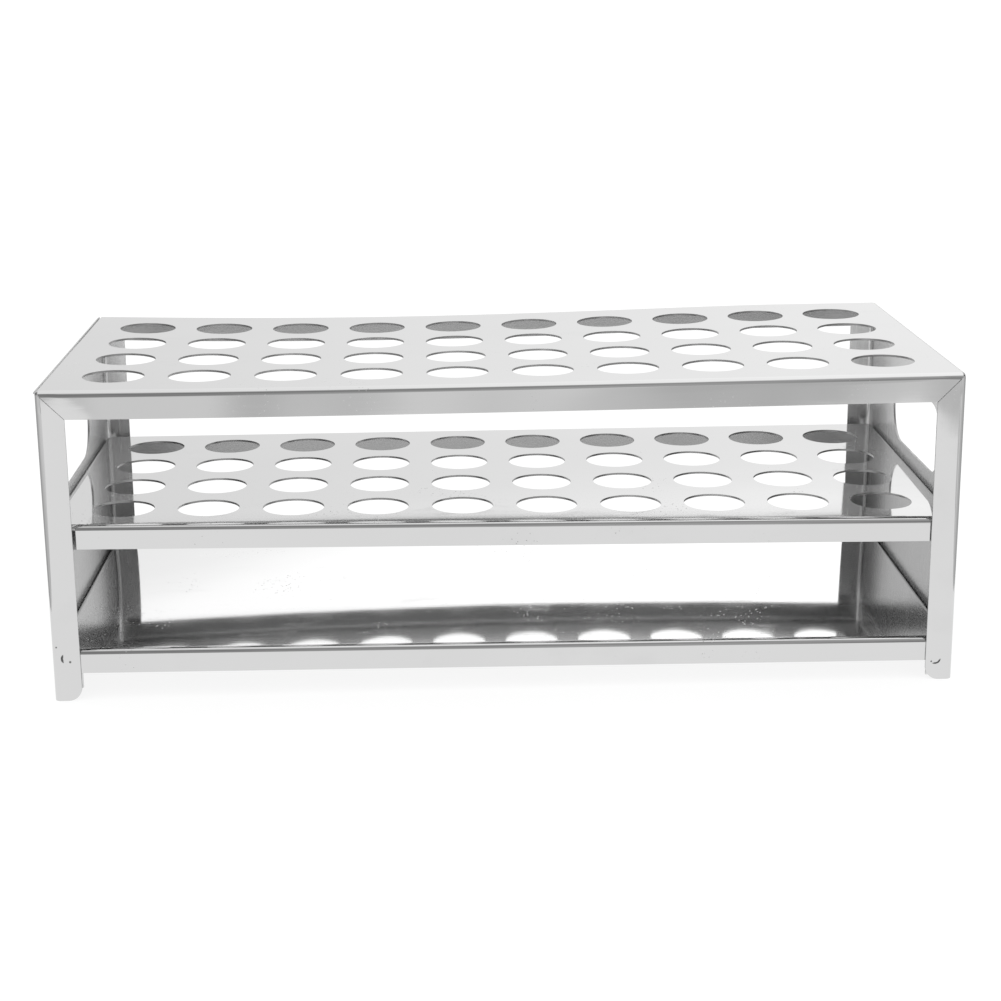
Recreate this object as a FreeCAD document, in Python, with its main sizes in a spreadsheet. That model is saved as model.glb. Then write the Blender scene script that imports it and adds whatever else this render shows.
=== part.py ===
import FreeCAD, Part

import math
import os

import Sketcher
from FreeCAD import Rotation, Vector

# Polished sheet-metal rack for forty test tubes, in four rows of ten.
#
# The rack stands on z = 0 with the middle of its footprint at the origin. Its length runs along X and
# its front faces -Y. A perforated deck is carried by two end panels whose front and rear edges are
# turned inwards as legs. A perforated middle shelf guides the tubes and a plain bottom shelf carries
# them. The deck is seam welded to the panels, and the shelves are spot welded to them.

# Driving dimensions, in millimetres, and the numbers of columns and rows.
SIZES = {
    "rack_width": (261.0, "between the outer faces of the end panels"),
    "rack_depth": (118.0, "between the front and rear faces"),
    "rack_height": (91.2, "from the feet to the top of the deck"),
    "sheet": (0.6, "thickness of every sheet"),
    "flange": (8.0, "outer height or width of the deck's and the end panels' turned edges"),
    "shelf_flange": (7.1, "outer height of the shelves' turned edges"),
    "fold_radius": (1.8, "outer radius of every fold"),
    "corner_radius": (1.0, "outer radius of the ground corner between deck and panel"),
    "mitre_gap": (0.15, "from each flange's end to the middle of its mitre, along X"),
    "relief": (0.3, "open relief between a corner weld and the folds beside it"),
    "tube_hole_radius": (9.0, "holes for the tubes"),
    "tube_pitch_x": (24.75, "between tube centres, along X"),
    "tube_pitch_y": (25.4, "between tube centres, along Y"),
    "tube_columns": (10, "tubes along X"),
    "tube_rows": (4, "tubes along Y"),
    "middle_shelf_top": (50.8, "height of the middle shelf"),
    "bottom_shelf_top": (14.4, "height of the bottom shelf"),
    "middle_shelf_depth": (112.0, "between the outer faces of its flanges"),
    "bottom_shelf_depth": (116.8, "between the outer faces of its flanges, which fill the space in the legs"),
    "corner_notch": (2.0, "square notch at each corner of a shelf"),
    "hand_hole_length": (58.6, "hand cut-out, along Y"),
    "hand_hole_height": (21.0, "hand cut-out, with fully rounded ends"),
    "hand_hole_forward": (5.9, "hand cut-out, forward of the middle"),
    "hand_hole_level": (64.5, "height of the hand cut-out's centre line"),
    "foot_radius": (4.0, "rounding of each leg's lower inner corner"),
    "ear_bottom": (2.8, "height of the lower end of the bottom shelf's ears"),
    "left_ear_start": (122.1, "from the middle to the inner edge of the left ears"),
    "right_ear_start": (122.8, "from the middle to the inner edge of the right ears"),
    "weld_radius": (1.5, "spot weld nugget"),
    "weld_depth": (0.3, "how far a nugget reaches into each sheet"),
    "tab_weld_spread": (30.0, "from the middle to each weld of an end tab, along Y"),
    "tab_weld_drop": (4.2, "from the shelf's top to the welds of its end tabs"),
    "left_ear_weld": (126.3, "from the middle to the left ears' welds"),
    "left_ear_weld_drop": (2.9, "from the shelf's top to the left ears' welds"),
    "right_ear_weld": (125.9, "from the middle to the right ears' welds"),
    "right_ear_weld_drop": (8.6, "from the shelf's top to the right ears' welds"),
}
SIDES = {"left": -1, "right": 1}
ENDS = {"front": -1, "rear": 1}
NEAR = 1e-4


def size(name):
    return SIZES[name][0]


def make_sheet(doc):
    sheet = doc.addObject("Spreadsheet::Sheet", "Sizes")
    for row, (name, (value, note)) in enumerate(SIZES.items(), 1):
        sheet.set(f"A{row}", name)
        sheet.set(f"B{row}", str(value))
        sheet.set(f"C{row}", note)
        sheet.setAlias(f"B{row}", name)
    doc.recompute()


# Expressions for lengths that several pieces share, measured from the middle of the rack.
HALF_WIDTH = "Sizes.rack_width / 2"
HALF_DEPTH = "Sizes.rack_depth / 2"
INNER_WIDTH = f"({HALF_WIDTH} - Sizes.sheet)"
INNER_DEPTH = f"({HALF_DEPTH} - Sizes.sheet)"
LEG_EDGE = f"({HALF_WIDTH} - Sizes.flange)"
FLANGE_END = f"({INNER_WIDTH} - Sizes.corner_notch)"
CORNER_WIDTH = f"({HALF_WIDTH} - Sizes.corner_radius)"
INNER_FOLD = "Sizes.fold_radius - Sizes.sheet"
BEYOND = "5"  # how far a cutting outline reaches past what it cuts


def make_body(doc, label):
    body = doc.addObject("PartDesign::Body", label)
    body.Label = label
    return body


def sketch_on(body, role, name, offset=None):
    """A sketch on one of the body's own origin planes, raised along its normal by an expression."""
    plane = next(p for p in body.Origin.OriginFeatures if p.Role == role)
    sketch = body.newObject("Sketcher::SketchObject", name)
    sketch.AttachmentSupport = (plane, [""])
    sketch.MapMode = "FlatFace"
    if offset:
        sketch.setExpression("AttachmentOffset.Base.z", offset)
    return sketch


def pin(sketch, geometry, point, x, y):
    """Holds a point of the geometry at the expressions x and y."""
    for kind, where in (("DistanceX", x), ("DistanceY", y)):
        number = sketch.addConstraint(Sketcher.Constraint(kind, -1, 1, geometry, point, 1.0))
        sketch.setExpression(f"Constraints[{number}]", where)


def add_polygon(sketch, corners):
    """A closed outline whose corners are pairs of expressions."""
    first = sketch.GeometryCount
    count = len(corners)
    angles = [2 * math.pi * i / count for i in range(count)]
    ring = [Vector(math.cos(angle), math.sin(angle), 0) for angle in angles]
    for i in range(count):
        sketch.addGeometry(Part.LineSegment(ring[i], ring[(i + 1) % count]), False)
    for i in range(count):
        sketch.addConstraint(Sketcher.Constraint("Coincident", first + i, 2, first + (i + 1) % count, 1))
    for i, (x, y) in enumerate(corners):
        pin(sketch, first + i, 1, x, y)


def add_rectangle(sketch, x_from, x_to, y_from, y_to):
    add_polygon(sketch, [(x_from, y_from), (x_to, y_from), (x_to, y_to), (x_from, y_to)])


def add_circle(sketch, x, y, radius):
    number = sketch.addGeometry(Part.Circle(Vector(0, 0, 0), Vector(0, 0, 1), 1.0), False)
    pin(sketch, number, 3, x, y)
    held = sketch.addConstraint(Sketcher.Constraint("Radius", number, 1.0))
    sketch.setExpression(f"Constraints[{held}]", radius)


def add_slot(sketch, middle, level, length, height):
    """A slot with round ends, its middle at (middle, level), all four of them names in the sheet."""
    radius = size(height) / 2
    reach = size(length) / 2 - radius
    at = Vector(-size(middle), size(level), 0)
    up = Vector(0, radius, 0)
    along = Vector(reach, 0, 0)
    quarter = math.pi / 2
    far, near, top, bottom = 0, 1, 2, 3
    for centre, start in ((at + along, -quarter), (at - along, quarter)):
        circle = Part.Circle(centre, Vector(0, 0, 1), radius)
        sketch.addGeometry(Part.ArcOfCircle(circle, start, start + math.pi), False)
    sketch.addGeometry(Part.LineSegment(at + along + up, at - along + up), False)
    sketch.addGeometry(Part.LineSegment(at - along - up, at + along - up), False)
    for arc, arc_end, line, line_end in (
        (far, 2, top, 1),
        (top, 2, near, 1),
        (near, 2, bottom, 1),
        (bottom, 2, far, 1),
    ):
        sketch.addConstraint(Sketcher.Constraint("Tangent", arc, arc_end, line, line_end))
    for arc, sign in ((far, "+"), (near, "-")):
        reach_of = f"(Sizes.{length} - Sizes.{height}) / 2"
        pin(sketch, arc, 3, f"-Sizes.{middle} {sign} {reach_of}", f"Sizes.{level}")
        held = sketch.addConstraint(Sketcher.Constraint("Radius", arc, radius))
        sketch.setExpression(f"Constraints[{held}]", f"Sizes.{height} / 2")


def settle(feature):
    """Recomputes the model and stops if the feature failed."""
    feature.Document.recompute()
    if {"Invalid", "Error"} & set(feature.State) or feature.Shape.isNull():
        raise RuntimeError(f"{feature.Name} failed")
    return feature


def pad(body, sketch, name, length):
    feature = body.newObject("PartDesign::Pad", name)
    feature.Profile = sketch
    feature.setExpression("Length", length)
    return settle(feature)


def pocket(body, sketch, name, length=None, upwards=False):
    """Cuts both ways from the sketch, right through or length in all, or only upwards for length."""
    feature = body.newObject("PartDesign::Pocket", name)
    feature.Profile = sketch
    before = feature.BaseFeature.Shape.Volume
    if upwards:
        feature.Reversed = True
    else:
        feature.Midplane = True
    if length:
        feature.setExpression("Length", length)
    else:
        feature.Type = "ThroughAll"
    settle(feature)
    if feature.Shape.Volume > before - NEAR:
        raise RuntimeError(f"{name} cuts nothing")
    return feature


def round_edges(body, feature, name, radius, chosen):
    """A fillet on each edge of the feature whose ends and middle all pass the test."""
    picked = []
    for number, edge in enumerate(feature.Shape.Edges, 1):
        places = [vertex.Point for vertex in edge.Vertexes] + [edge.CenterOfMass]
        if all(chosen(place) for place in places):
            picked.append(f"Edge{number}")
    if not picked:
        raise RuntimeError(f"{name} finds no edge")
    fillet = body.newObject("PartDesign::Fillet", name)
    fillet.Base = (feature, picked)
    fillet.setExpression("Radius", radius)
    return settle(fillet)


def near(value, *targets):
    return any(abs(value - target) < NEAR for target in targets)


def punch_tube_holes(body, name):
    """The grid of tube holes, as one hole repeated along X and Y."""
    sketch = sketch_on(body, "XY_Plane", f"{name}_first_hole")
    add_circle(
        sketch,
        "-Sizes.tube_pitch_x * (Sizes.tube_columns - 1) / 2",
        "-Sizes.tube_pitch_y * (Sizes.tube_rows - 1) / 2",
        "Sizes.tube_hole_radius",
    )
    hole = pocket(body, sketch, f"{name}_hole")
    grid = body.newObject("PartDesign::LinearPattern", f"{name}_hole_grid")
    grid.Originals = [hole]
    grid.Direction = (sketch, ["H_Axis"])
    grid.setExpression("Length", "Sizes.tube_pitch_x * (Sizes.tube_columns - 1)")
    grid.setExpression("Occurrences", "Sizes.tube_columns")
    grid.Direction2 = (sketch, ["V_Axis"])
    grid.setExpression("Length2", "Sizes.tube_pitch_y * (Sizes.tube_rows - 1)")
    grid.setExpression("Occurrences2", "Sizes.tube_rows")
    body.Tip = grid
    return settle(grid)


def make_deck(doc):
    """The perforated deck: a sheet with its front and rear edges turned down, mitred at the corners."""
    body = make_body(doc, "top_deck")
    body.setExpression("Placement.Base.z", "Sizes.rack_height")
    half_depth = size("rack_depth") / 2
    inner_depth = half_depth - size("sheet")

    outline = sketch_on(body, "XY_Plane", "deck_outline", "-Sizes.flange")
    add_rectangle(outline, f"-{CORNER_WIDTH}", CORNER_WIDTH, f"-{HALF_DEPTH}", HALF_DEPTH)
    block = pad(body, outline, "deck_block", "Sizes.flange")
    round_edges(
        body,
        block,
        "deck_outer_folds",
        "Sizes.fold_radius",
        lambda p: near(p.z, 0) and near(abs(p.y), half_depth),
    )
    hollow = sketch_on(body, "XY_Plane", "deck_hollow_outline", "-Sizes.flange")
    add_rectangle(hollow, f"-{HALF_WIDTH}", HALF_WIDTH, f"-{INNER_DEPTH}", INNER_DEPTH)
    channel = pocket(body, hollow, "deck_hollow", "Sizes.flange - Sizes.sheet", upwards=True)
    round_edges(
        body,
        channel,
        "deck_inner_folds",
        INNER_FOLD,
        lambda p: near(p.z, -size("sheet")) and near(abs(p.y), inner_depth),
    )
    mitres = sketch_on(body, "XZ_Plane", "deck_mitre_outlines")
    for sign in ("-", ""):
        top = (f"{sign}({HALF_WIDTH} + Sizes.flange - Sizes.mitre_gap)", "Sizes.flange")
        foot = (f"{sign}({LEG_EDGE} - {BEYOND} - Sizes.mitre_gap)", f"-Sizes.flange - {BEYOND}")
        outside = (f"{sign}({HALF_WIDTH} + Sizes.flange)", f"-Sizes.flange - {BEYOND}")
        add_polygon(mitres, [top, foot, outside])
    pocket(body, mitres, "deck_mitres")
    punch_tube_holes(body, "deck")
    return body


def make_end_panel(doc, side):
    """An end panel: a sheet whose front and rear edges are turned inwards as the legs."""
    sign = SIDES[side]
    toward = "" if sign > 0 else "-"
    body = make_body(doc, f"{side}_end_panel")
    outer = sign * size("rack_width") / 2
    inner = outer - sign * size("sheet")
    leg_edge = outer - sign * size("flange")
    half_depth = size("rack_depth") / 2
    inner_depth = half_depth - size("sheet")

    outline = sketch_on(body, "XY_Plane", f"{side}_panel_outline")
    add_rectangle(
        outline, f"{toward}{LEG_EDGE}", f"{toward}({HALF_WIDTH})", f"-{HALF_DEPTH}", HALF_DEPTH
    )
    block = pad(body, outline, f"{side}_panel_block", "Sizes.rack_height - Sizes.corner_radius")
    round_edges(
        body,
        block,
        f"{side}_outer_folds",
        "Sizes.fold_radius",
        lambda p: near(p.x, outer) and near(abs(p.y), half_depth),
    )
    hollow = sketch_on(body, "XY_Plane", f"{side}_hollow_outline")
    add_rectangle(
        hollow,
        f"{toward}({LEG_EDGE} - {BEYOND})",
        f"{toward}{INNER_WIDTH}",
        f"-{INNER_DEPTH}",
        INNER_DEPTH,
    )
    channel = pocket(body, hollow, f"{side}_hollow")
    inside = round_edges(
        body,
        channel,
        f"{side}_inner_folds",
        INNER_FOLD,
        lambda p: near(p.x, inner) and near(abs(p.y), inner_depth),
    )
    round_edges(
        body,
        inside,
        f"{side}_feet",
        "Sizes.foot_radius",
        lambda p: near(p.x, leg_edge) and near(p.z, 0),
    )
    mitre = sketch_on(body, "XZ_Plane", f"{side}_mitre_outline")
    high = "Sizes.rack_height + Sizes.flange"
    low = f"Sizes.rack_height - Sizes.flange - {BEYOND}"
    inward = f"{toward}({LEG_EDGE} - {BEYOND} + Sizes.mitre_gap)"
    add_polygon(
        mitre,
        [
            (f"{toward}({HALF_WIDTH} + Sizes.flange + Sizes.mitre_gap)", high),
            (inward, low),
            (inward, high),
        ],
    )
    pocket(body, mitre, f"{side}_mitre")
    cut_out = sketch_on(body, "YZ_Plane", f"{side}_hand_hole_outline")
    add_slot(cut_out, "hand_hole_forward", "hand_hole_level", "hand_hole_length", "hand_hole_height")
    pocket(body, cut_out, f"{side}_hand_hole")
    for shelf, sites in WELDS.items():
        for number, site in enumerate(s for s in sites if s["side"] == side):
            cut_weld_seat(body, f"{side}_{shelf}_seat_{number + 1}", site, f"Sizes.{shelf}_top")
    return body


def cross(sketch, long_x, short_x, long_y, short_y):
    """A rectangle long_x by short_y joined with a narrower, deeper one short_x by long_y."""
    corners = []
    for sx, sy in (("", ""), ("-", ""), ("-", "-"), ("", "-")):
        turn = [
            (f"{sx}{long_x}", f"{sy}{short_y}"),
            (f"{sx}{short_x}", f"{sy}{short_y}"),
            (f"{sx}{short_x}", f"{sy}{long_y}"),
        ]
        corners += turn if sx == sy else turn[::-1]
    add_polygon(sketch, corners)


def shelf_pan(doc, label):
    """A shelf's pan: a sheet with its four edges turned down and its corners notched."""
    body = make_body(doc, label)
    body.setExpression("Placement.Base.z", f"Sizes.{label}_top")
    half_depth = size(f"{label}_depth") / 2
    inner_width = size("rack_width") / 2 - size("sheet")
    sheet = size("sheet")
    face = f"(Sizes.{label}_depth / 2)"
    tab_end = f"({face} - Sizes.corner_notch)"

    outline = sketch_on(body, "XY_Plane", f"{label}_outline", "-Sizes.shelf_flange")
    cross(outline, INNER_WIDTH, FLANGE_END, face, tab_end)
    block = pad(body, outline, f"{label}_block", "Sizes.shelf_flange")
    round_edges(
        body,
        block,
        f"{label}_outer_folds",
        "Sizes.fold_radius",
        lambda p: near(p.z, 0) and (near(abs(p.y), half_depth) or near(abs(p.x), inner_width)),
    )
    hollow = sketch_on(body, "XY_Plane", f"{label}_hollow_outline", "-Sizes.shelf_flange")
    cross(hollow, f"({INNER_WIDTH} - Sizes.sheet)", FLANGE_END, f"({face} - Sizes.sheet)", tab_end)
    depth = "Sizes.shelf_flange - Sizes.sheet"
    channel = pocket(body, hollow, f"{label}_hollow", depth, upwards=True)
    round_edges(
        body,
        channel,
        f"{label}_inner_folds",
        INNER_FOLD,
        lambda p: near(p.z, -sheet)
        and (near(abs(p.y), half_depth - sheet) or near(abs(p.x), inner_width - sheet)),
    )
    return body


def lengthen_flange_ends(body):
    """The ears: the ends of the bottom shelf's flanges, behind the legs, reach further down."""
    drop = "(Sizes.bottom_shelf_top - Sizes.ear_bottom)"
    face = "Sizes.bottom_shelf_depth / 2"
    ears = sketch_on(body, "XY_Plane", "ear_outlines", f"-{drop}")
    for side, sign in SIDES.items():
        toward = "" if sign > 0 else "-"
        for end in ("", "-"):
            add_rectangle(
                ears,
                f"{toward}Sizes.{side}_ear_start",
                f"{toward}{FLANGE_END}",
                f"{end}({face} - Sizes.sheet)",
                f"{end}({face})",
            )
    pad(body, ears, "ears", f"{drop} - Sizes.fold_radius")


def weld_sites():
    """Where each shelf is spot welded: the side, the sheets' common normal, and the place as expressions.

    The height is measured from the shelf's own top face.
    """
    middle = [
        {
            "side": side,
            "normal": "X",
            "x": f"{'' if sign > 0 else '-'}{INNER_WIDTH}",
            "y": f"{'' if end > 0 else '-'}Sizes.tab_weld_spread",
            "z": "-Sizes.tab_weld_drop",
        }
        for side, sign in SIDES.items()
        for end in ENDS.values()
    ]
    bottom = [
        {
            "side": side,
            "normal": "Y",
            "x": f"{'' if sign > 0 else '-'}Sizes.{side}_ear_weld",
            "y": f"{'' if end > 0 else '-'}{INNER_DEPTH}",
            "z": f"-Sizes.{side}_ear_weld_drop",
        }
        for side, sign in SIDES.items()
        for end in ENDS.values()
    ]
    return {"middle_shelf": middle, "bottom_shelf": bottom}


WELDS = weld_sites()


def cut_weld_seat(body, name, site, shelf_top="0"):
    """The round seat that a spot weld's nugget takes up in one of its two sheets."""
    height = f"{shelf_top} + ({site['z']})"
    if site["normal"] == "X":
        sketch = sketch_on(body, "YZ_Plane", f"{name}_outline", site["x"])
        add_circle(sketch, site["y"], height, "Sizes.weld_radius")
    else:
        sketch = sketch_on(body, "XZ_Plane", f"{name}_outline", f"-({site['y']})")
        add_circle(sketch, site["x"], height, "Sizes.weld_radius")
    pocket(body, sketch, name, "2 * Sizes.weld_depth")


def make_middle_shelf(doc):
    """The perforated shelf that guides the tubes half-way down."""
    body = shelf_pan(doc, "middle_shelf")
    punch_tube_holes(body, "middle_shelf")
    for number, site in enumerate(WELDS["middle_shelf"]):
        cut_weld_seat(body, f"middle_shelf_seat_{number + 1}", site)
    return body


def make_bottom_shelf(doc):
    """The plain shelf that the tubes stand on, welded behind the legs by the ends of its flanges."""
    body = shelf_pan(doc, "bottom_shelf")
    lengthen_flange_ends(body)
    for number, site in enumerate(WELDS["bottom_shelf"]):
        cut_weld_seat(body, f"bottom_shelf_seat_{number + 1}", site)
    return body


def make_corner_weld(doc, side):
    """The seam between the deck's end and a panel's top: a bead ground to a quarter round."""
    run = "(Sizes.rack_depth - 2 * (Sizes.fold_radius + Sizes.relief))"
    turn = Rotation(Vector(1, 0, 0), 90)
    if side == "left":
        turn = Rotation(Vector(0, 0, 1), 180).multiply(turn)
    rounds = []
    for what, radius in (("face", "Sizes.corner_radius"), ("back", "Sizes.corner_radius - Sizes.sheet")):
        cylinder = doc.addObject("Part::Cylinder", f"{side}_corner_weld_{what}")
        cylinder.Placement.Rotation = turn
        cylinder.setExpression("Radius", radius)
        cylinder.setExpression("Height", run)
        cylinder.setExpression("Placement.Base.x", f"{SIDES[side]} * {CORNER_WIDTH}")
        cylinder.setExpression("Placement.Base.y", f"{SIDES[side]} * {run} / 2")
        cylinder.setExpression("Placement.Base.z", "Sizes.rack_height - Sizes.corner_radius")
        rounds.append(cylinder)
    rounds[0].Angle = 90
    weld = doc.addObject("Part::Cut", f"{side}_corner_weld")
    weld.Label = f"{side}_corner_weld"
    weld.Base, weld.Tool = rounds
    return weld


def make_spot_welds(doc, shelf):
    """The nuggets that join one shelf to the end panels, as a group of separate solids."""
    label = f"{shelf}_spot_welds"
    turns = {"X": Rotation(Vector(0, 1, 0), 90), "Y": Rotation(Vector(1, 0, 0), -90)}
    nuggets = []
    for number, site in enumerate(WELDS[shelf]):
        nugget = doc.addObject("Part::Cylinder", f"{label}_{number + 1}")
        nugget.Placement.Rotation = turns[site["normal"]]
        nugget.setExpression("Radius", "Sizes.weld_radius")
        nugget.setExpression("Height", "2 * Sizes.weld_depth")
        for axis in "XYZ":
            where = f"({site[axis.lower()]})"
            if axis == "Z":
                where += f" + Sizes.{shelf}_top"
            if axis == site["normal"]:
                where += " - Sizes.weld_depth"
            nugget.setExpression(f"Placement.Base.{axis.lower()}", where)
        nuggets.append(nugget)
    group = doc.addObject("Part::Compound", label)
    group.Label = label
    group.Links = nuggets
    return group


def check(doc, nodes):
    """Stops if any object failed, or any sub-part isn't a valid solid."""
    for thing in doc.Objects:
        if {"Invalid", "Error"} & set(thing.State):
            raise RuntimeError(f"{thing.Name} is {thing.State}")
    for node in nodes:
        shape = node.Shape
        if shape.isNull() or not shape.isValid() or not shape.Solids:
            raise RuntimeError(f"{node.Label} has no valid shape")
        box = shape.BoundBox
        low = (round(box.XMin, 2), round(box.YMin, 2), round(box.ZMin, 2))
        high = (round(box.XMax, 2), round(box.YMax, 2), round(box.ZMax, 2))
        print(node.Label, len(shape.Solids), "solid(s)", round(shape.Volume, 1), "mm3", low, high)


def main():
    doc = FreeCAD.newDocument("test_tube_rack")
    make_sheet(doc)
    nodes = [make_deck(doc)]
    nodes += [make_end_panel(doc, side) for side in SIDES]
    nodes += [make_middle_shelf(doc), make_bottom_shelf(doc)]
    nodes += [make_corner_weld(doc, side) for side in SIDES]
    nodes += [make_spot_welds(doc, shelf) for shelf in WELDS]
    doc.recompute()
    check(doc, nodes)
    os.makedirs("parts", exist_ok=True)
    for node in nodes:
        node.Shape.exportStep(f"parts/{node.Label}.step")


main()
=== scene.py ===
import math

import bmesh
import bpy
from mathutils import Matrix, Vector
from mathutils.bvhtree import BVHTree


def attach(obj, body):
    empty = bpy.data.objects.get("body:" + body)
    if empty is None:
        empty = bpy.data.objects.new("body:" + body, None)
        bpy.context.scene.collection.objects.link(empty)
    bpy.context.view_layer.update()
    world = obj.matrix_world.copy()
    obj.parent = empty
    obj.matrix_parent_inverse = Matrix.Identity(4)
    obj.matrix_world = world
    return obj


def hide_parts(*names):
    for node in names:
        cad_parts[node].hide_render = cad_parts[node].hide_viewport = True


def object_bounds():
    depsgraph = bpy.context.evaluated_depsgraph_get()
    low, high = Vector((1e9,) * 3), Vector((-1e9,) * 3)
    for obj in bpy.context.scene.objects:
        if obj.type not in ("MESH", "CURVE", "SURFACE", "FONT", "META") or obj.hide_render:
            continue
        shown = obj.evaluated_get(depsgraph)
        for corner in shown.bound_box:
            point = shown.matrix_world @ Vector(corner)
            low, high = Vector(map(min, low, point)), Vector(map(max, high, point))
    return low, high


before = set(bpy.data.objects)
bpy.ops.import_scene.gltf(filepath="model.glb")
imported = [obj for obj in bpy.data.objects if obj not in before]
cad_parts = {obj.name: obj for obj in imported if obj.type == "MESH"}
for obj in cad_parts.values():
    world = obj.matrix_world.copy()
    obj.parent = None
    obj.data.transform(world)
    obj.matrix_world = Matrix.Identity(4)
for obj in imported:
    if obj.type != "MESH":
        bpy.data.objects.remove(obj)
CAD_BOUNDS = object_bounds()
scene = bpy.context.scene

# Sizes of the rack and of its bends are in millimetres. Materials and the studio are in metres.
MM = 0.001
HALF_WIDTH, HALF_DEPTH, DECK_TOP = (round(reach / MM, 2) for reach in CAD_BOUNDS[1])
FLANGE = 8.0
FOLD_ZONE = 2.0  # a turned edge and its fold lie within this much of the edge's outer face
MIDDLE_SHELF_TOP = 50.8
MIDDLE_SHELF_REAR = 56.0

X, Y, Z = 0, 1, 2


# ---- crookedness: how each sheet of the real rack departs from the true shape ----

# Three numbers are a curve along the rack: its level at the middle, its slope and its bow.
LEAN = 0.5  # the left end's shift at the deck
END_ZONE = 16.0  # a shift or a tilt grows to its full size within this much of a sheet's end
REAR_EDGE_TURN = 0.55  # how far a rear flange's lower edge is turned in

DECK_SAG_FRONT = (0.46, -0.19, 0.0)
DECK_SAG_REAR = (1.58, -1.47, -1.08)
DECK_SAG_BETWEEN = 0.60  # what the sag has on top halfway from the front to the rear
DECK_SHIFT = -0.3  # along X, away from its ends
DECK_EDGE_TILT = 0.25  # how far the front flange leans back at its top
DECK_EDGE_RIPPLES = ((0.05, 21.0, 0.0), (0.03, 9.0, 1.0))  # each one's height, length and phase

MIDDLE_SHELF_FRONT = (-0.45, -1.45, 0.0)
MIDDLE_SHELF_BACK = (-0.17, -0.13, 0.0)
MIDDLE_SHELF_SHIFT = 0.6  # along X, away from its ends
MIDDLE_SHELF_TURN = 1.0  # how far forward its middle is, and its right end is twice as far
LIP_START = -42.0  # along Y
LIP_WIDTH = 14.0
LIP_RISE = 0.05

BOTTOM_SHELF_LEVEL = (-0.3, -1.3, 0.0)  # at its front
BOTTOM_SHELF_TWIST = (1.6, 1.7, -1.9)  # how much higher the rear is than the front

PANEL_BOW = 0.12


def place_on_rack(x, y):
    """u, from -1 at the left end to 1 at the right, and v, from 0 in front to 1 at the rear."""
    return x / HALF_WIDTH, (y + HALF_DEPTH) / (2 * HALF_DEPTH)


def curve(terms, u):
    """The curve's height at u."""
    level, slope, bow = terms
    return level + slope * u + bow * u * u


def between(v, front, rear):
    """The number at v, on a straight line from the one in front to the one at the rear."""
    return (1 - v) * front + v * rear


def fade(distance):
    """0 at an end of the rack, growing smoothly to 1 at END_ZONE from it."""
    t = min(max(distance / END_ZONE, 0.0), 1.0)
    return t * t * (3 - 2 * t)


def lean(x, z):
    """The rack leans: its left end is a little further to the right at the top than at the feet."""
    return x + LEAN * (z / DECK_TOP) * (1 - x / HALF_WIDTH) / 2


def bend_deck(x, y, z):
    """The deck is pressed down between its ends, and its turned edges aren't quite square."""
    u, v = place_on_rack(x, y)
    sag = between(v, curve(DECK_SAG_FRONT, u), max(curve(DECK_SAG_REAR, u), 0.0))
    sag += 4 * v * (1 - v) * DECK_SAG_BETWEEN
    ends = fade(HALF_WIDTH - FLANGE - abs(x))
    drop = (DECK_TOP - z) / FLANGE
    if y < FOLD_ZONE - HALF_DEPTH:
        ripples = sum(height * math.sin(x / length + phase) for height, length, phase in DECK_EDGE_RIPPLES)
        y += ends * (DECK_EDGE_TILT + ripples) * (1 - drop)
    if y > HALF_DEPTH - FOLD_ZONE:
        y -= ends * REAR_EDGE_TURN * drop
    return lean(x, z) + DECK_SHIFT * ends, y, z - (1 - u * u) * sag


def bend_middle_shelf(x, y, z):
    """The middle shelf is lower and further forward at its right end, with a faint lip along its front fold.

    Its rear edge is turned in too far.
    """
    u, v = place_on_rack(x, y)
    lip = max((LIP_START - y) / LIP_WIDTH, 0.0)
    lift = between(v, curve(MIDDLE_SHELF_FRONT, u), curve(MIDDLE_SHELF_BACK, u)) + LIP_RISE * lip * lip
    shift = MIDDLE_SHELF_SHIFT * fade(HALF_WIDTH - abs(x))
    if y > MIDDLE_SHELF_REAR - FOLD_ZONE:
        y -= REAR_EDGE_TURN * max(MIDDLE_SHELF_TOP - z, 0.0) / FLANGE
    return lean(x, z) + shift, y - MIDDLE_SHELF_TURN * (1 + u), z + lift


def bend_bottom_shelf(x, y, z):
    """The bottom shelf is lower at its right end in front, and rises towards the middle of its rear."""
    u, v = place_on_rack(x, y)
    return lean(x, z), y, z + curve(BOTTOM_SHELF_LEVEL, u) + v * curve(BOTTOM_SHELF_TWIST, u)


def bend_end_panel(x, y, z):
    """An end panel bows inwards very slightly between its four edges."""
    bow = PANEL_BOW * (1 - (y / HALF_DEPTH) ** 2) * math.sin(math.pi * min(z / DECK_TOP, 1.0))
    return lean(x - math.copysign(bow, x), z), y, z


# ---- meshes ----

OUTER, INNER, CUT, FLAT = 0, 1, 2, 3  # the kinds of faces, and their materials' places
GRID = 6.5
THICKEST_SHEET = 0.9
SMOOTH_ANGLE = math.radians(40)
SAME_POINT = 0.001 * MM
SAME_PLANE = 0.0001 * MM
JUST_INSIDE = 0.01 * MM
ALONG_AXIS = 0.99  # a normal's share along an axis, from which a face counts as facing along it


def cut_faces(mesh):
    """The faces that are the cut edge of the sheet: going in through them, there is no far side nearby."""
    tree = BVHTree.FromBMesh(mesh)
    found = set()
    for face in mesh.faces:
        inward = -face.normal
        start = face.calc_center_median() + inward * JUST_INSIDE
        distance = tree.ray_cast(start, inward)[3]
        if distance is None or distance > THICKEST_SHEET * MM:
            found.add(face)
    return found


def sort_faces(mesh, inside, flat):
    """Gives each face the number of its kind: the sheet's outer side, inner side, cut edge or flat part."""
    centre = Vector((0, 0, inside * MM))
    edges = cut_faces(mesh)
    for face in mesh.faces:
        outward = face.normal.dot(face.calc_center_median() - centre) >= 0
        if face in edges:
            face.material_index = CUT
        else:
            face.material_index = OUTER if outward else INNER
        if flat and face.material_index == flat[0] and abs(face.normal[flat[1]]) > ALONG_AXIS:
            face.material_index = FLAT


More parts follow.
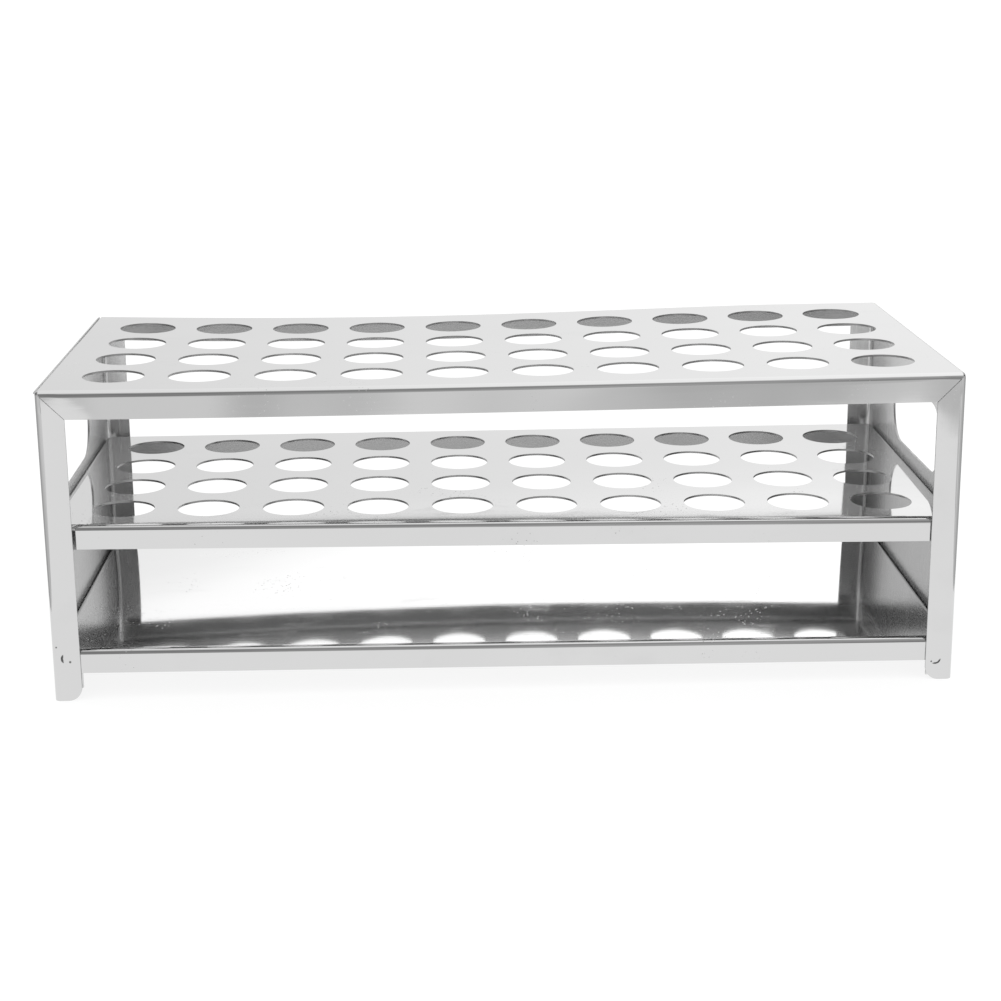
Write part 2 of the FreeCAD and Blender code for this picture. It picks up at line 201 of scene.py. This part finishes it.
def slice_along(mesh, axis, places):
    """Cuts the mesh at planes across the axis, so that it can bend smoothly."""
    normal = Vector((0, 0, 0))
    normal[axis] = 1
    for place in places:
        at = normal * (place * MM)
        parts = mesh.verts[:] + mesh.edges[:] + mesh.faces[:]
        bmesh.ops.bisect_plane(mesh, geom=parts, dist=SAME_PLANE, plane_co=at, plane_no=normal)


def sheet_mesh(source, bend, slices, inside, flat):
    """The source's mesh, cut finely, bent and marked smooth across its folds."""
    mesh = bmesh.new()
    mesh.from_mesh(source)
    bmesh.ops.remove_doubles(mesh, verts=mesh.verts, dist=SAME_POINT)
    sort_faces(mesh, inside, flat)
    for axis, places in slices.items():
        slice_along(mesh, axis, places)
    for vertex in mesh.verts:
        vertex.co = Vector(bend(*(vertex.co / MM))) * MM
    for face in mesh.faces:
        face.smooth = True
    for edge in mesh.edges:
        edge.smooth = edge.is_manifold and edge.calc_face_angle(0) < SMOOTH_ANGLE
    return mesh


def sheet_piece(node, bend, slices, inside, looks, flat=None):
    """A piece that stands for a sheet.

    inside is the height of a point on the inner side of every fold. looks are the materials of the outer
    side, the inner side and the cut edges. If flat names a side and an axis, the part of that side that
    faces along the axis has the fourth.
    """
    mesh = sheet_mesh(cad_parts[node].data, bend, slices, inside, flat)
    data = bpy.data.meshes.new(f"{node}_sheet")
    mesh.to_mesh(data)
    mesh.free()
    for look in looks:
        data.materials.append(look)
    piece = bpy.data.objects.new(f"{node}_sheet", data)
    scene.collection.objects.link(piece)
    modifier = piece.modifiers.new("weighted_normals", "WEIGHTED_NORMAL")
    modifier.keep_sharp = True
    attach(piece, "root")
    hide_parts(node)


# ---- materials ----

class Nodes:
    """A new material's node tree, with short ways to add nodes to it."""

    def __init__(self, name):
        self.material = bpy.data.materials.new(name)
        self.material.use_nodes = True
        self.tree = self.material.node_tree
        self.tree.nodes.clear()
        self.output = self.tree.nodes.new("ShaderNodeOutputMaterial")
        self.place = self.add("ShaderNodeTexCoord").outputs["Object"]

    def add(self, kind, **values):
        node = self.tree.nodes.new(kind)
        for name, value in values.items():
            setattr(node, name, value)
        return node

    def set(self, socket, value):
        """Links the value if it is a socket, or else makes it the socket's own value."""
        if isinstance(value, bpy.types.NodeSocket):
            self.tree.links.new(value, socket)
        else:
            socket.default_value = value

    def show(self, shader):
        self.tree.links.new(shader.outputs[0], self.output.inputs["Surface"])

    def math(self, operation, a, b=0.0, c=0.0):
        node = self.add("ShaderNodeMath", operation=operation)
        for socket, value in zip(node.inputs, (a, b, c)):
            self.set(socket, value)
        return node.outputs[0]

    def product(self, a, b):
        return self.math("MULTIPLY", a, b)

    def separate(self, vector):
        """The vector's x, y and z."""
        node = self.add("ShaderNodeSeparateXYZ")
        self.set(node.inputs[0], vector)
        return node.outputs

    def noise(self, scale, detail, stretch=(1, 1, 1)):
        """Cloudy noise: its scale is per metre, so a larger one is finer. stretch scales each axis."""
        mapping = self.add("ShaderNodeMapping")
        self.set(mapping.inputs["Vector"], self.place)
        mapping.inputs["Scale"].default_value = stretch
        node = self.add("ShaderNodeTexNoise")
        self.set(node.inputs["Vector"], mapping.outputs[0])
        node.inputs["Scale"].default_value = scale
        node.inputs["Detail"].default_value = detail
        return node.outputs["Fac"]

    def ramp(self, value, low, high, to_low=0.0, to_high=1.0):
        """A smooth step: to_low where the value is low, to_high where it is high."""
        node = self.add("ShaderNodeMapRange", interpolation_type="SMOOTHSTEP")
        names = ("Value", "From Min", "From Max", "To Min", "To Max")
        for name, number in zip(names, (value, low, high, to_low, to_high)):
            self.set(node.inputs[name], number)
        return node.outputs[0]

    def blend(self, share, first, second):
        """Between two numbers or number sockets by share."""
        node = self.add("ShaderNodeMix", data_type="FLOAT")
        for socket, value in zip((node.inputs[0], node.inputs[2], node.inputs[3]), (share, first, second)):
            self.set(socket, value)
        return node.outputs[0]

    def grey(self, value):
        node = self.add("ShaderNodeCombineColor")
        for socket in node.inputs:
            self.set(socket, value)
        return node.outputs[0]

    def bump(self, height, distance, normal=None):
        """The height pushes the surface out by the distance, on top of the normal's own bumps."""
        node = self.add("ShaderNodeBump")
        node.inputs["Strength"].default_value = 1.0
        node.inputs["Distance"].default_value = distance
        self.set(node.inputs["Height"], height)
        if normal:
            self.set(node.inputs["Normal"], normal)
        return node.outputs[0]

    def metal(self, tone, rough, normal):
        shader = self.add("ShaderNodeBsdfPrincipled")
        shader.inputs["Metallic"].default_value = 1.0
        self.set(shader.inputs["Base Color"], self.grey(tone))
        self.set(shader.inputs["Roughness"], rough)
        self.set(shader.inputs["Normal"], normal)
        self.show(shader)
        return self.material


# The marks that spot welding left on the front legs, in millimetres. An arc has its centre's X and Z, its
# radius, its width, and the X and Z that it faces. A dot has its X and Z and its radius.
MARK_ARCS = (
    (-126.5, 12.9, 1.1, 0.42, (-1.0, 0.0)),
    (125.3, 6.4, 1.4, 0.30, (0.5, -0.87)),
)
MARK_DOTS = (
    (-125.3, 11.9, 0.42),
    (-129.0, 16.4, 0.30),
    (124.2, 5.6, 0.32),
)
MARK_DEPTH = 1.5  # marks lie within this much of the rack's front
FAR_AWAY = 99.0
SPECK_CELLS = 700  # per metre, each with a speck


def near_point(nodes, x, z):
    """How far each point of the front faces is from (x, z), and how far along X and Z, in millimetres."""
    place = nodes.separate(nodes.place)
    across = nodes.math("MULTIPLY_ADD", place["X"], 1 / MM, -x)
    along = nodes.math("MULTIPLY_ADD", place["Z"], 1 / MM, -z)
    behind = nodes.math("GREATER_THAN", place["Y"], (MARK_DEPTH - HALF_DEPTH) * MM)
    squares = nodes.math("ADD", nodes.math("POWER", across, 2.0), nodes.math("POWER", along, 2.0))
    distance = nodes.math("ADD", nodes.math("SQRT", squares), nodes.product(behind, FAR_AWAY))
    return distance, across, along


def mark_arc(nodes, x, z, radius, width, facing):
    """A thin arc around (x, z) on the front faces, on the side that facing points to."""
    distance, across, along = near_point(nodes, x, z)
    ring = nodes.math("ABSOLUTE", nodes.math("SUBTRACT", distance, radius))
    line = nodes.ramp(ring, width * 0.5, width, 1.0, 0.0)
    toward = nodes.product(across, facing[0])
    toward = nodes.math("MULTIPLY_ADD", along, facing[1], toward)
    return nodes.product(line, nodes.ramp(toward, radius * 0.45, radius * 0.8))


def mark_dot(nodes, x, z, radius):
    distance = near_point(nodes, x, z)[0]
    return nodes.ramp(distance, radius * 0.5, radius, 0.8, 0.0)


def weld_marks(nodes):
    """How much of each point belongs to the small scorched marks on the front legs."""
    total = 0.0
    for arc in MARK_ARCS:
        total = nodes.math("MAXIMUM", mark_arc(nodes, *arc), total)
    for dot in MARK_DOTS:
        total = nodes.math("MAXIMUM", mark_dot(nodes, *dot), total)
    return total


def drawn_out(axis, share):
    """A stretch that draws a texture out along the axis."""
    stretch = [1.0, 1.0, 1.0]
    stretch[axis] = share
    return stretch


def speck_clusters(nodes):
    """How much of each point belongs to a small speck. The specks come in clusters."""
    cells = nodes.add("ShaderNodeTexVoronoi", feature="F1")
    nodes.set(cells.inputs["Vector"], nodes.place)
    cells.inputs["Scale"].default_value = SPECK_CELLS
    dots = nodes.ramp(cells.outputs["Distance"], 0.10, 0.20, 1.0, 0.0)
    clusters = nodes.ramp(nodes.noise(38, 3), 0.54, 0.66)
    return nodes.product(dots, clusters)


def polished_steel(name, grain, tone, marked=False):
    """Polished sheet: faint rolling grain along one axis, soft waves, smudges and clusters of specks."""
    nodes = Nodes(name)
    lines = nodes.noise(1400, 3, drawn_out(grain, 0.03))
    smudges = nodes.ramp(nodes.noise(55, 4, (1, 1.7, 1.3)), 0.56, 0.74)
    dots = speck_clusters(nodes)
    shade = nodes.blend(nodes.noise(22, 2), tone - 0.02, tone + 0.02)
    shade = nodes.blend(nodes.product(smudges, 0.25), shade, tone - 0.06)
    shade = nodes.blend(nodes.product(dots, 0.5), shade, tone * 0.9)
    rough = nodes.blend(lines, 0.035, 0.075)
    rough = nodes.math("ADD", rough, nodes.product(smudges, 0.05))
    rough = nodes.math("ADD", rough, nodes.product(dots, 0.55))
    waves = nodes.bump(nodes.noise(30, 1), 0.04 * MM)
    normal = nodes.bump(lines, 0.0015 * MM, waves)
    if marked:
        marks = weld_marks(nodes)
        shade = nodes.blend(marks, shade, 0.12)
        rough = nodes.blend(marks, rough, 0.45)
        normal = nodes.bump(marks, -0.12 * MM, normal)
    return nodes.metal(shade, rough, normal)


def mill_finish_with_painted_shade(name, grain, tone, painted_lit_tone):
    """The sheet's unpolished side: satin, with rolling scratches along one axis and cloudy patches.

    Its colour carries painted shade: it turns from tone low down on the rack, painted darker where the lower
    bay lies in shade, to the lighter tone given second, painted light near the deck.
    """
    nodes = Nodes(name)
    lines = nodes.noise(1900, 4, drawn_out(grain, 0.02))
    clouds = nodes.noise(45, 4)
    # painted shade and light: darker low down in the rack, lighter near the deck
    shade = nodes.ramp(nodes.separate(nodes.place)["Z"], 34 * MM, 62 * MM, tone, painted_lit_tone)
    shade = nodes.product(shade, nodes.ramp(clouds, 0.2, 0.8, 0.94, 1.02))
    shade = nodes.product(shade, nodes.ramp(lines, 0.25, 0.75, 0.95, 1.04))
    rough = nodes.blend(lines, 0.22, 0.30)
    return nodes.metal(shade, rough, nodes.bump(lines, 0.001 * MM))


def cut_edge(name):
    """The sheet's cut edges: sheared, deburred and left dull."""
    nodes = Nodes(name)
    grit = nodes.noise(2600, 4)
    wear = nodes.ramp(nodes.noise(170, 3), 0.4, 0.7)
    shade = nodes.blend(wear, 0.40, 0.56)
    rough = nodes.blend(grit, 0.34, 0.5)
    return nodes.metal(shade, rough, nodes.bump(grit, 0.01 * MM))


def ground_weld(name):
    """Weld metal ground flush and polished over, with fine scratches across the seam."""
    nodes = Nodes(name)
    scratches = nodes.noise(2200, 3, (0.1, 1, 0.1))
    beads = nodes.noise(420, 2)
    shade = nodes.blend(beads, 0.52, 0.66)
    rough = nodes.blend(scratches, 0.12, 0.3)
    waves = nodes.bump(beads, 0.05 * MM)
    return nodes.metal(shade, rough, nodes.bump(scratches, 0.004 * MM, waves))


# ---- the rack ----

EDGE = cut_edge("cut_edge_steel")
SHELF_LOOKS = [
    polished_steel("polished_shelf_steel", X, 0.71),
    # the shelves' unpolished side, with painted shade that darkens it low down in the rack
    mill_finish_with_painted_shade("mill_shelf_steel_painted_shade", X, 0.46, 0.60),
    EDGE,
]
# painted light: the bottom shelf's top gets a lighter copy of the polished shelf steel, so that its mirror
# shows brighter
PLATE_LOOKS = SHELF_LOOKS + [polished_steel("polished_plate_steel_painted_light", X, 0.96)]
PANEL_LOOKS = [
    polished_steel("polished_panel_steel", Z, 0.71, marked=True),
    # the legs' unpolished side, with painted shade that darkens it low down in the rack
    mill_finish_with_painted_shade("mill_leg_steel_painted_shade", Z, 0.58, 0.96),
    EDGE,
    # painted shade: a darker copy of the legs' unpolished steel for the large inner face of each end panel,
    # which lies in shade between the shelves, and darker still low down in the rack
    mill_finish_with_painted_shade("mill_panel_steel_painted_shade", Z, 0.34, 0.58),
]
WELD_STEEL = ground_weld("ground_weld_steel")

# Heights of points on the inner side of each sheet's folds.
UNDER_DECK = 40.0
UNDER_MIDDLE_SHELF = 0.0
UNDER_BOTTOM_SHELF = -40.0
BETWEEN_PANELS = 45.0


def steps(low, high):
    """The places on the grid from low to high."""
    return [GRID * i for i in range(math.ceil(low / GRID), math.floor(high / GRID) + 1)]


LEVEL = {X: steps(-HALF_WIDTH, HALF_WIDTH), Y: steps(-HALF_DEPTH, HALF_DEPTH)}
UPRIGHT = {Y: steps(-HALF_DEPTH, HALF_DEPTH), Z: steps(GRID, DECK_TOP - GRID)}

sheet_piece("top_deck", bend_deck, LEVEL, UNDER_DECK, SHELF_LOOKS)
sheet_piece("middle_shelf", bend_middle_shelf, LEVEL, UNDER_MIDDLE_SHELF, SHELF_LOOKS)
sheet_piece("bottom_shelf", bend_bottom_shelf, LEVEL, UNDER_BOTTOM_SHELF, PLATE_LOOKS, (OUTER, Z))
for side in ("left", "right"):
    sheet_piece(f"{side}_end_panel", bend_end_panel, UPRIGHT, BETWEEN_PANELS, PANEL_LOOKS, (INNER, X))
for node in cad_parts.values():
    node.data.materials.clear()
    node.data.materials.append(WELD_STEEL)


# ---- the studio, in metres ----

FLOOR_REACH = 6.0
BENCH_REACH = 0.215
BENCH_FRONT = -0.50
BENCH_BACK = 0.60
BENCH_LEVEL = -0.0002
DOME_RADIUS = 4.0
DOME_LEVEL = 0.05
WORLD_GLOW = 1.06
FLOOR_GLOW = 0.86
LIGHT_SIZE = (2.0, 1.6)
LIGHT_LEVEL = 1.6
LIGHT_WATTS = 3


def add_plane(name, x_from, x_to, y_from, y_to, z):
    data = bpy.data.meshes.new(name)
    corners = [(x_from, y_from, z), (x_to, y_from, z), (x_to, y_to, z), (x_from, y_to, z)]
    data.from_pydata(corners, [], [(0, 1, 2, 3)])
    plane = bpy.data.objects.new(name, data)
    scene.collection.objects.link(plane)
    return plane


def floor_material():
    """White acrylic lit from below, so that shadows on it stay pale."""
    nodes = Nodes("pale_floor")
    shader = nodes.add("ShaderNodeBsdfPrincipled")
    nodes.set(shader.inputs["Base Color"], nodes.grey(nodes.blend(nodes.noise(9, 3), 0.17, 0.19)))
    shader.inputs["Roughness"].default_value = 0.9
    shader.inputs["Specular IOR Level"].default_value = 0.0
    shader.inputs["Emission Color"].default_value = (1, 1, 1, 1)
    shader.inputs["Emission Strength"].default_value = FLOOR_GLOW
    nodes.show(shader)
    nodes.material.cycles.emission_sampling = "NONE"
    return nodes.material


def glow_material(name):
    """A new material that only glows: its nodes, and the socket of its strength."""
    nodes = Nodes(name)
    glow = nodes.add("ShaderNodeEmission")
    nodes.show(glow)
    nodes.material.cycles.emission_sampling = "NONE"
    return nodes, glow.inputs["Strength"]


def surroundings_material():
    """The room that the steel mirrors: bright behind and overhead, dim in front above the bench.

    side, ahead and height are the direction of each point of the dome, from -1 to 1.
    """
    nodes, strength = glow_material("studio_surroundings")
    direction = nodes.add("ShaderNodeVectorMath", operation="NORMALIZE")
    nodes.set(direction.inputs[0], nodes.place)
    side, ahead, height = nodes.separate(direction.outputs[0])
    frontness = nodes.ramp(ahead, 0.15, -0.45)
    overhead = nodes.ramp(height, 0.78, 0.97)
    dim = nodes.product(frontness, nodes.math("SUBTRACT", 1.0, overhead))
    soft = nodes.ramp(nodes.noise(0.9, 1), 0.35, 0.65, 0.24, 0.44)
    behind = nodes.ramp(side, -0.35, 0.35, 0.83, 1.03)
    behind = nodes.product(behind, nodes.ramp(height, 0.26, 0.30, 1.0, 1.18))
    above = nodes.blend(dim, behind, soft)
    patches = nodes.ramp(nodes.noise(1.3, 1, (2.5, 1, 1)), 0.35, 0.65, 0.56, 0.80)
    below = nodes.blend(frontness, 0.45, patches)
    nodes.set(strength, nodes.blend(nodes.ramp(height, -0.03, 0.03), below, above))
    return nodes.material


def bench_material():
    """The white bench top under the rack, as the steel mirrors it."""
    nodes, strength = glow_material("white_bench_in_steel")
    nodes.set(strength, nodes.blend(nodes.noise(6, 2), 0.93, 0.99))
    return nodes.material


def seen_only_in_steel(thing):
    thing.visible_camera = False
    thing.visible_diffuse = False
    thing.visible_shadow = False
    thing.visible_transmission = False


def add_floor():
    floor = add_plane("floor", -FLOOR_REACH, FLOOR_REACH, -FLOOR_REACH, FLOOR_REACH, 0.0)
    floor.data.materials.append(floor_material())
    floor.visible_glossy = False


def add_surroundings():
    bench = add_plane("bench", -BENCH_REACH, BENCH_REACH, BENCH_FRONT, BENCH_BACK, BENCH_LEVEL)
    bench.data.materials.append(bench_material())
    seen_only_in_steel(bench)
    bpy.ops.mesh.primitive_uv_sphere_add(
        segments=64, ring_count=32, radius=DOME_RADIUS, location=(0, 0, DOME_LEVEL))
    dome = bpy.context.object
    dome.name = "surroundings"
    dome.data.materials.append(surroundings_material())
    seen_only_in_steel(dome)


def add_world():
    world = bpy.data.worlds.new("studio")
    world.use_nodes = True
    background = world.node_tree.nodes["Background"]
    background.inputs["Color"].default_value = (1, 1, 1, 1)
    background.inputs["Strength"].default_value = WORLD_GLOW
    scene.world = world


def add_light():
    light = bpy.data.lights.new("soft_top", "AREA")
    light.shape = "RECTANGLE"
    light.size, light.size_y = LIGHT_SIZE
    light.energy = LIGHT_WATTS
    top = bpy.data.objects.new("soft_top", light)
    top.location = (0, 0, LIGHT_LEVEL)
    top.visible_glossy = False
    scene.collection.objects.link(top)


add_floor()
add_surroundings()
add_world()
add_light()

scene.view_settings.view_transform = "Standard"
scene.cycles.max_bounces = 16
scene.cycles.glossy_bounces = 14


# ---- the camera, at the photograph's viewing angle ----

YAW = math.radians(2.076)
PITCH = math.radians(15.558)
ROLL = math.radians(-0.70)
CAMERA_PLACE = (-0.0208, -0.6003, 0.2080)
SENSOR_WIDTH = 36
LENS = 71.44256


def camera_turn():
    """The camera's axes. It looks along the rack's depth, turned by YAW, tipped by PITCH, rolled by ROLL."""
    forward = Vector((math.sin(YAW) * math.cos(PITCH), math.cos(YAW) * math.cos(PITCH), -math.sin(PITCH)))
    right = Vector((math.cos(YAW), -math.sin(YAW), 0))
    up = right.cross(forward)
    right_rolled = math.cos(ROLL) * right + math.sin(ROLL) * up
    up_rolled = math.cos(ROLL) * up - math.sin(ROLL) * right
    return Matrix([right_rolled, up_rolled, -forward]).transposed().to_4x4()


def add_camera():
    camera = bpy.data.cameras.new("photo_camera")
    camera.sensor_width = SENSOR_WIDTH
    camera.lens = LENS
    stand = bpy.data.objects.new("photo_camera", camera)
    stand.matrix_world = Matrix.Translation(CAMERA_PLACE) @ camera_turn()
    scene.collection.objects.link(stand)
    scene.camera = stand


add_camera()
